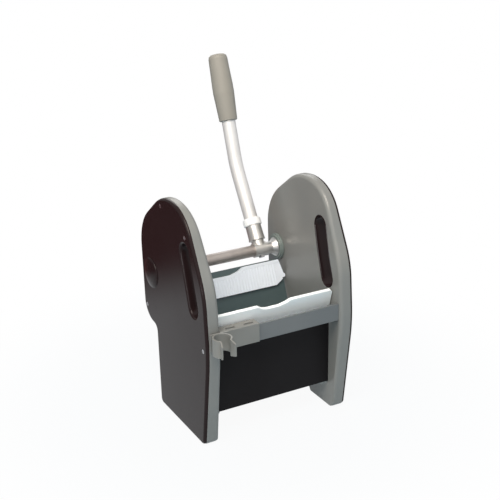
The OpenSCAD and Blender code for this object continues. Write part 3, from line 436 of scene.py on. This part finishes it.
for share in (0.85, 0.72, 0.58, 0.44, 0.3, 0.15):
    height = BOSS_FOOT + (BOSS_H - BOSS_FOOT) * (1 - (share / 0.93) ** 2) ** 0.9
    boss_rings.append(disc(cover, COVER_OUTER + height, SHAFT_Y, SHAFT_Z, BOSS_R * share, 96))
bridge(cover, boss_rings)
cover.faces.new(boss_rings[-1])
cap(cover, [rings[-1], mouth[0], boss_rings[0]] + recesses)
cap(cover, (rings[0], mouth[-1]))
left_cover = mirrored(cover)
piece("right_cover_skin", cover, gloss_black, "base", "cover_plastic", "right_side_cover")
piece("left_cover_skin", left_cover, gloss_black, "base", "cover_plastic", "left_side_cover")

# Screws and bolts: zinc-plated cross-recess screws hold the covers, and socket
# screws inside the housings hold the cross pieces.
zinc = Finish("zinc_plate", metallic=1.0)
flake = zinc.noise(900.0, 3.0)
zinc.set("Base Color", zinc.blend(flake, (0.50, 0.50, 0.52), (0.64, 0.64, 0.66)))
zinc.set("Roughness", zinc.band(zinc.noise(300.0, 3.0), 0.3, 0.7, 0.22, 0.4))
zinc.bump(flake, 0.08, 0.0001)


def dress(finish, *names):
    """Gives CAD nodes that stay in view their finish."""
    for name in names:
        node = nodes[name]
        node.data.materials.clear()
        node.data.materials.append(finish.material)


dress(
    zinc, "left_cover_screws", "right_cover_screws", "frame_bolts", "tee_bolt", "tee_nut",
    "pad_screws")

# Edges sharper than the first angle are eased, and blunter ones than the second shade
# smoothly, in degrees.
EASED_FROM, SMOOTH_BELOW = 32.0, 40.0


def eased(name, node, finish, body, slot, width, segments=3):
    """A moulded version of a CAD node: the same shape with its edges rounded."""
    data = nodes[node].data.copy()
    mesh = bmesh.new()
    mesh.from_mesh(data)
    bmesh.ops.remove_doubles(mesh, verts=mesh.verts, dist=2e-6)
    bmesh.ops.dissolve_limit(
        mesh, angle_limit=math.radians(0.6), verts=mesh.verts, edges=mesh.edges,
        delimit={"NORMAL"})
    rough = bpy.data.meshes.new(name + "_rough")
    mesh.to_mesh(rough)
    mesh.free()
    made = bpy.data.objects.new(name, rough)
    bpy.context.scene.collection.objects.link(made)
    ease = made.modifiers.new("ease", "BEVEL")
    ease.width = width * MM
    ease.segments = segments
    ease.limit_method = "ANGLE"
    ease.angle_limit = math.radians(EASED_FROM)
    ease.use_clamp_overlap = True
    ease.miter_outer = "MITER_ARC"
    shaped = settled(made)
    bpy.data.objects.remove(made)
    mesh = bmesh.new()
    mesh.from_mesh(shaped)
    return piece(name, mesh, finish, body, slot, node, smooth=SMOOTH_BELOW)


# Crossbar: a cool grey moulded channel that ties the frames together at the front,
# open to the rear, with two small tabs on top that hold the handle clip.
bar_plastic = satin_plastic("bar_cool_grey", (0.128, 0.142, 0.15), (0.142, 0.153, 0.158), 0.38)
eased("crossbar", "front_crossbar", bar_plastic, "base", "bar_plastic", 1.6, 4)

# Front and rear panels: thin black sheets with a flange at each end, screwed to the
# frames. They keep the wrung water in.
panel_plastic = satin_plastic(
    "panel_black", (0.0068, 0.006, 0.0068), (0.0085, 0.0078, 0.0088), 0.5, Specular_IOR_Level=0.12)
eased("front_splash_panel", "front_panel", panel_plastic, "base", "panel_plastic", 0.6, 2)
eased("rear_splash_panel", "rear_panel", panel_plastic, "base", "panel_plastic", 0.6, 2)

# Drain floor: a light grey slotted tray under the mop, on a rail at each end.
floor_plastic = satin_plastic("drain_light_grey", (0.33, 0.34, 0.335), (0.37, 0.375, 0.36), 0.45)
eased("drain_tray", "drain_floor", floor_plastic, "base", "floor_plastic", 0.5, 2)

# Front press plate: a white ribbed moulding that leans back from the panel's top.
# Its front is smooth, its top edge is thick, with a long hollow left of the middle.
white_plastic = satin_plastic("plate_white", (0.92, 0.975, 0.985), (0.935, 0.98, 0.99), 0.40)
eased("front_plate", "front_press_plate", white_plastic, "base", "plate_plastic", 0.55, 3)

# Handle clip: a beige-grey saddle over the crossbar's left end with an open spring
# ring, moulded in one piece, which holds the mop's handle upright.
clip_plastic = satin_plastic("clip_beige_grey", (0.188, 0.194, 0.186), (0.215, 0.214, 0.201), 0.42)
eased("mop_handle_clip", "handle_clip", clip_plastic, "base", "clip_plastic", 0.7, 3)

# Bushes: stepped green-grey plastic bearings pressed into the frames, two for the
# cross shaft and two smaller ones for the jaw's axle.
bush_plastic = satin_plastic("bush_green_grey", (0.165, 0.205, 0.197), (0.19, 0.225, 0.213), 0.35)
for name in ("left_shaft_bush", "right_shaft_bush", "left_axle_bush", "right_axle_bush"):
    eased(name + "_moulding", name, bush_plastic, "base", "bush_plastic", 0.6, 3)

# Cross shaft: a dull drawn steel bar from housing to housing that the lever turns.
# It has fine lines along its length and a brown tinge of handling.
drawn_steel = Finish("shaft_drawn_steel", metallic=0.85)
line = drawn_steel.noise(60.0, 4.0, 0.6, (0.04, 1.0, 1.0))
stain = drawn_steel.noise(18.0, 4.0, 0.6)
drawn_steel.set("Base Color", drawn_steel.blend(
    drawn_steel.band(stain, 0.35, 0.7), (0.45, 0.41, 0.385), (0.34, 0.30, 0.28)))
drawn_steel.set("Roughness", drawn_steel.band(stain, 0.3, 0.75, 0.36, 0.52))
drawn_steel.bump(line, 0.06, 0.0001)
dress(drawn_steel, "cross_shaft")

# Lever tee: a cast and tumbled aluminium fitting that grips the shaft and takes the
# tube in its flared socket; a bolt from below goes through both.
cast_metal = Finish("tee_cast_aluminium", metallic=0.85)
pit = cast_metal.noise(520.0, 4.0, 0.6)
tumbled = cast_metal.band(cast_metal.noise(40.0, 3.0), 0.35, 0.7)
cast_metal.set("Base Color", cast_metal.blend(tumbled, (0.68, 0.675, 0.66), (0.60, 0.595, 0.58)))
cast_metal.set("Roughness", cast_metal.band(pit, 0.3, 0.7, 0.36, 0.44))
cast_metal.bump(pit, 0.05, 0.0001)
eased("tee_casting", "lever_tee", cast_metal, "lever", "cast_aluminium", 1.0, 4)

# Thrust collars: turned bright steel rings that flare towards the bushes and keep
# the shaft from sliding sideways; the idler pins and the jaw's axle match them.
turned_steel = Finish("turned_bright_steel", metallic=1.0)
groove = turned_steel.noise(40.0, 2.0, 0.5, (40.0, 1.0, 1.0))
turned_steel.set("Base Color", turned_steel.blend(groove, (0.60, 0.59, 0.575), (0.72, 0.71, 0.70)))
turned_steel.set("Roughness", turned_steel.band(groove, 0.3, 0.7, 0.31, 0.40))
turned_steel.bump(groove, 0.03, 0.00005)
for name in ("left_thrust_collar", "right_thrust_collar"):
    eased(name + "_turning", name, turned_steel, "lever", "bright_steel", 0.4, 3)
dress(turned_steel, "jaw_axle", "left_idler_pin", "right_idler_pin")

# Lever tube: satin anodised aluminium, bent once, with fine lines along it and a
# white moulded collar at its foot.
anodised = Finish("tube_satin_aluminium", metallic=0.45)
along = anodised.noise(300.0, 3.0, 0.6, (1.0, 1.0, 0.03))
anodised.set("Base Color", anodised.blend(along, (0.70, 0.695, 0.69), (0.77, 0.765, 0.76)))
anodised.set("Roughness", anodised.band(along, 0.3, 0.7, 0.50, 0.56))
anodised.bump(along, 0.02, 0.00005)
dress(anodised, "lever_tube")

collar_plastic = satin_plastic("collar_white", (0.93, 0.95, 0.96), (0.95, 0.96, 0.965), 0.35)
eased("tube_collar", "lever_collar", collar_plastic, "lever", "collar_plastic", 0.5, 3)

# Grip: a warm grey soft moulding over the top of the tube, barrel-shaped, with a
# rounded top and a fine matte texture.
grip_rubber = satin_plastic("grip_warm_grey", (0.262, 0.25, 0.22), (0.285, 0.27, 0.238), 0.55)
dress(grip_rubber, "lever_grip")

# Gear train: steel pinions on the shaft, and black nylon idlers and sector gears,
# all inside the housings; spring rings hold the shaft's and the axle's ends.
gear_steel = Finish("pinion_oiled_steel", metallic=1.0)
film = gear_steel.noise(90.0, 4.0, 0.6)
gear_steel.set("Base Color", gear_steel.blend(film, (0.36, 0.35, 0.34), (0.5, 0.49, 0.47)))
gear_steel.set("Roughness", gear_steel.band(film, 0.3, 0.7, 0.2, 0.38))
dress(gear_steel, "left_pinion", "right_pinion")
nylon = satin_plastic("gear_black_nylon", (0.025, 0.025, 0.027), (0.032, 0.032, 0.033), 0.45)
dress(nylon, "left_idler", "right_idler", "left_sector", "right_sector")
spring_steel = Finish("blackened_spring_steel", metallic=1.0)
film = spring_steel.noise(200.0, 3.0)
spring_steel.set("Base Color", spring_steel.blend(film, (0.07, 0.07, 0.075), (0.12, 0.12, 0.125)))
spring_steel.set("Roughness", spring_steel.band(film, 0.3, 0.7, 0.3, 0.45))
dress(spring_steel, "shaft_circlips", "axle_circlips")

# Jaw: a dark green-grey ribbed moulding that swings on its axle, faced at the top
# with a white ribbed pad, which presses the mop against the front plate.
jaw_plastic = satin_plastic(
    "jaw_dark_green_grey", (0.062, 0.094, 0.10), (0.073, 0.105, 0.11), 0.40)
eased("jaw_moulding", "jaw_carrier", jaw_plastic, "jaw", "jaw_plastic", 0.8, 3)
pad_plastic = satin_plastic("pad_cool_white", (0.80, 0.865, 0.955), (0.83, 0.885, 0.965), 0.40)
eased("jaw_white_pad", "jaw_pad", pad_plastic, "jaw", "plate_plastic", 0.45, 3)

# Studio: a wide white floor, plain white behind, and soft lamps: warm from above,
# cooler from the front, a small one at the front left that brightens the rims, and
# one behind. Gloss sees the white sheet end a little behind the object; beyond it the
# sheet glows dark red for glossy rays only, a painted reflection.
studio_white = Finish("studio_white", Roughness=0.9, Specular_IOR_Level=0.0)
studio_white.set("Base Color", (0.32, 0.45, 0.54))
spread = studio_white.node(
    "ShaderNodeVectorMath", {"operation": "LENGTH"}, {0: studio_white.place}, 1)
across = studio_white.node("ShaderNodeSeparateXYZ", None, {0: studio_white.place}, 1)
direct = studio_white.node("ShaderNodeLightPath", output="Is Camera Ray")
mirrored_ray = studio_white.node("ShaderNodeLightPath", output="Is Glossy Ray")
through = studio_white.node("ShaderNodeLightPath", output="Is Transmission Ray")
# Painted reflection: for glossy rays the sheet glows pale grey near the object and dark red
# further behind it, seen as a dark red sheen on the glossy covers.
paper = studio_white.band(across, 0.34, 0.66)
tone = studio_white.blend(paper, (0.74, 0.76, 0.77), (0.13, 0.05, 0.05))
glow = studio_white.node("ShaderNodeEmission", None, {
    "Color": studio_white.blend(direct, tone, (1.0, 1.0, 1.0)), "Strength": 1.0})
bare = direct * studio_white.band(spread, 0.2, 0.6, 0.94, 1.0) + mirrored_ray + through
sheet = studio_white.node("ShaderNodeMixShader", None, {
    0: bare, 1: Link(studio_white, studio_white.shader.outputs[0]), 2: glow})
surface = studio_white.tree.nodes["Material Output"].inputs["Surface"]
studio_white.tree.links.new(sheet.socket, surface)
sheet_mesh = bmesh.new()
bmesh.ops.create_grid(sheet_mesh, x_segments=8, y_segments=8, size=6.0)
sheet_data = bpy.data.meshes.new("studio_floor")
sheet_mesh.to_mesh(sheet_data)
sheet_mesh.free()
studio_floor = bpy.data.objects.new("studio_floor", sheet_data)
bpy.context.scene.collection.objects.link(studio_floor)
studio_floor.location.z = -0.0004
sheet_data.materials.append(studio_white.material)


class Surround(Finish):
    """The world's shader, written with the same helpers."""

    def __init__(self, world):
        world.use_nodes = True
        self.tree = world.node_tree
        self.shader = self.tree.nodes["Background"]
        self.place = self.node("ShaderNodeTexCoord", output="Generated")


world = bpy.data.worlds.new("studio")
bpy.context.scene.world = world
room = Surround(world)
direct = room.node("ShaderNodeLightPath", output="Is Camera Ray")
mirrored_ray = room.node("ShaderNodeLightPath", output="Is Glossy Ray")
depth = room.node("ShaderNodeSeparateXYZ", None, {0: room.place}, 1)
height = room.node("ShaderNodeSeparateXYZ", None, {0: room.place}, 2)
walls = room.band(depth, -0.2, 0.75, 1.0, 0.42) * room.band(height, -0.1, 0.5, 0.8, 1.0)
soft = room.blend(mirrored_ray, (0.54, 0.56, 0.575), (1.0, 1.0, 1.0))
wall_grey = room.node("ShaderNodeCombineXYZ", None, {0: walls, 1: walls, 2: walls})
lit = room.blend(mirrored_ray, soft, wall_grey, "MULTIPLY")
room.set("Color", room.blend(direct, lit, (1.0, 1.0, 1.0)))
room.set("Strength", 1.0)


def lamp(name, power, size, place, aim, tint=(1.0, 1.0, 1.0)):
    data = bpy.data.lights.new(name, "AREA")
    data.energy, data.size, data.color = power, size, tint
    made = bpy.data.objects.new(name, data)
    bpy.context.scene.collection.objects.link(made)
    made.location = place
    made.rotation_euler = (Vector(aim) - Vector(place)).to_track_quat("-Z", "Y").to_euler()


lamp("overhead", 38.0, 1.2, (-0.75, -0.85, 1.8), (0, 0, 0.2), (1.0, 0.90, 0.79))
lamp("front", 1.5, 1.5, (-0.2, -1.9, 0.5), (0, 0, 0.2), (0.87, 0.96, 1.0))
lamp("edge", 3.0, 0.3, (-1.5, -1.1, 0.45), (0, 0, 0.25))
lamp("rear", 9.0, 1.2, (0.6, 1.6, 1.4), (0, 0, 0.2))

# Camera: from the front left and above, where the photograph was taken.
CAMERA_AT = (-0.7262, -1.3505, 0.8698)
AZIMUTH, ELEVATION, ROLL = -28.31, 21.07, -1.0
FOCAL_PIXELS, PICTURE_PIXELS, SENSOR = 1016.06, 500, 36.0
azimuth, elevation, roll = (math.radians(v) for v in (AZIMUTH, ELEVATION, ROLL))
back = Vector((
    math.sin(azimuth) * math.cos(elevation),
    -math.cos(azimuth) * math.cos(elevation),
    math.sin(elevation)))
right = back.cross(Vector((0, 0, -1))).normalized()
up = right.cross(-back)
turned_right = math.cos(roll) * right + math.sin(roll) * up
turned_up = -math.sin(roll) * right + math.cos(roll) * up
view = bpy.data.cameras.new("view")
view.sensor_width = SENSOR
view.lens = FOCAL_PIXELS / PICTURE_PIXELS * SENSOR
view.clip_end = 50.0
view.shift_x = 0.0016
camera = bpy.data.objects.new("view", view)
bpy.context.scene.collection.objects.link(camera)
stand = Matrix.Translation(Vector(CAMERA_AT) - Vector((0, depth_shift * MM, 0)))
camera.matrix_world = stand @ Matrix((turned_right, turned_up, back)).transposed().to_4x4()
bpy.context.scene.camera = camera
bpy.context.scene.view_settings.view_transform = "Standard"
